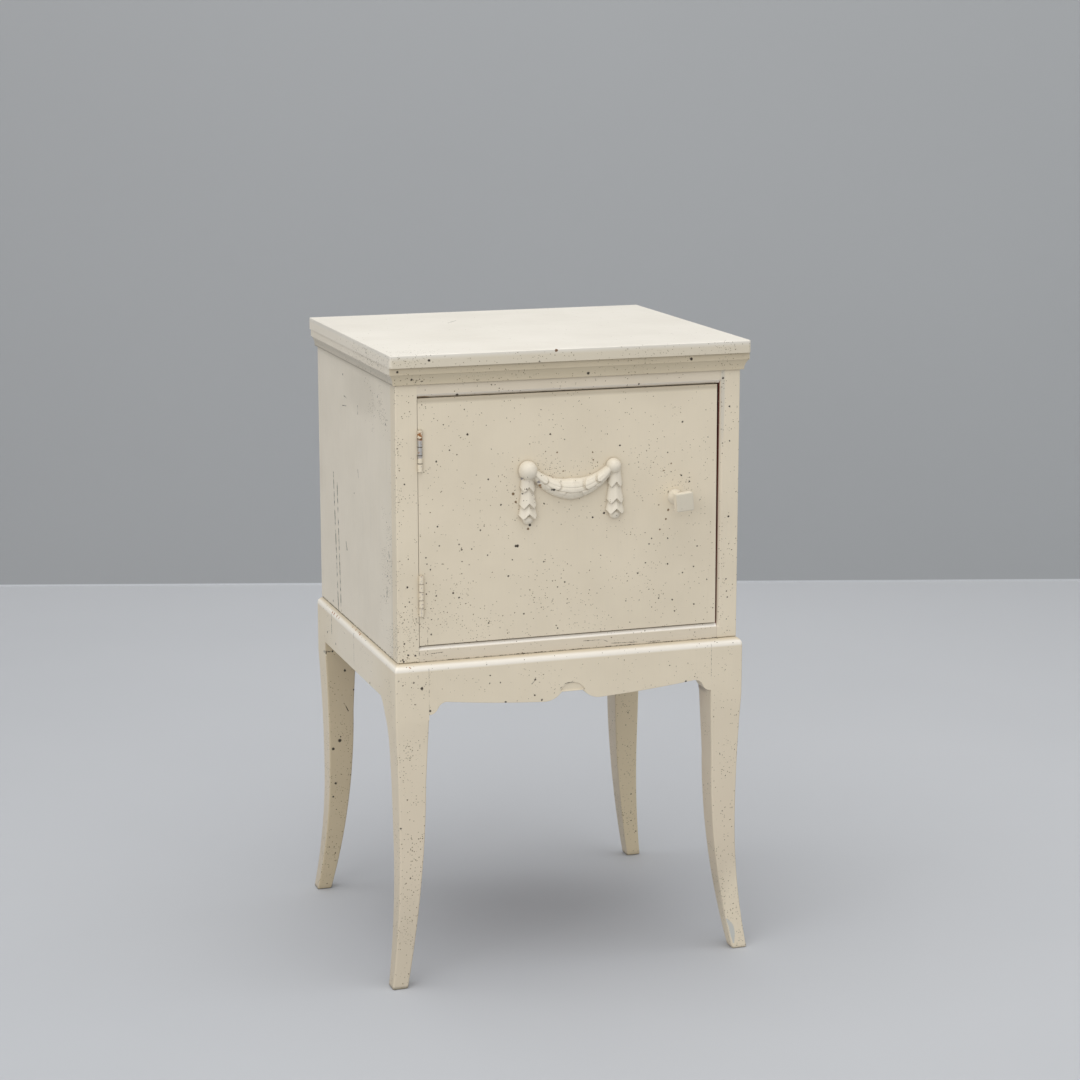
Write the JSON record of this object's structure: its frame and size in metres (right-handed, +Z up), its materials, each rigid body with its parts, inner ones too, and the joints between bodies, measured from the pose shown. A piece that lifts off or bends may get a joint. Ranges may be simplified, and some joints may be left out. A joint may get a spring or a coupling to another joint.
{
  "type": "nightstand",
  "caption": "Painted bedside cabinet with a moulded top, an inset side-hung door with a carved garland and square knob, and a joined stand with sabre legs and a scalloped apron.",
  "frame": {"origin": "on the floor, under the middle of the whole piece with its knob", "axes": "+X to the right as one faces the door, +Y towards the back, +Z up"},
  "size_m": [0.4206, 0.382, 0.7],
  "materials": {
    "painted_wood": "aged cream satin paint",
    "bare_wood": "red-brown stained softwood, matt",
    "hinge_steel": "worn steel with rust and old paint",
    "screw_steel": "plain steel"
  },
  "bodies": {
    "cabinet": {"leg_front_left": "painted_wood", "leg_front_right": "painted_wood", "leg_back_left": "painted_wood", "leg_back_right": "painted_wood", "apron_front": "painted_wood", "apron_left": "painted_wood", "apron_right": "painted_wood", "apron_back": "painted_wood", "side_left": "painted_wood", "side_right": "painted_wood", "stile_left": "painted_wood", "stile_right": "painted_wood", "rail_top": "painted_wood", "rail_bottom": "painted_wood", "top_board": "painted_wood", "cornice_front": "painted_wood", "cornice_left": "painted_wood", "cornice_right": "painted_wood", "corner_blocks": "bare_wood", "bottom_board": "bare_wood", "back_board_left": "bare_wood", "back_board_middle": "bare_wood", "back_board_right": "bare_wood", "shelf": "bare_wood", "shelf_cleat_left": "bare_wood", "shelf_cleat_right": "bare_wood", "top_cleat_left": "bare_wood", "top_cleat_right": "bare_wood", "door_stop": "bare_wood", "hinge_upper_frame_leaf": "hinge_steel", "hinge_lower_frame_leaf": "hinge_steel", "hinge_upper_pin": "hinge_steel", "hinge_lower_pin": "hinge_steel", "stand_screws": "screw_steel", "cleat_screws": "screw_steel", "top_screws": "screw_steel", "hinge_screws_frame": "screw_steel"},
    "door": {"door_panel": "painted_wood", "door_lipping_left": "painted_wood", "door_lipping_right": "painted_wood", "knob": "painted_wood", "knob_screw": "screw_steel", "rosette_left": "painted_wood", "rosette_right": "painted_wood", "swag": "painted_wood", "drop_left": "painted_wood", "drop_right": "painted_wood", "hinge_upper_door_leaf": "hinge_steel", "hinge_lower_door_leaf": "hinge_steel", "hinge_screws_door": "screw_steel"}
  },
  "joints": [
    {"name": "door_hinge", "type": "hinge", "parent": "cabinet", "child": "door", "pos_m": [-0.17, -0.1615, 0.51725], "axis": [0, 0, -1], "range_deg": [0, 170]}
  ]
}
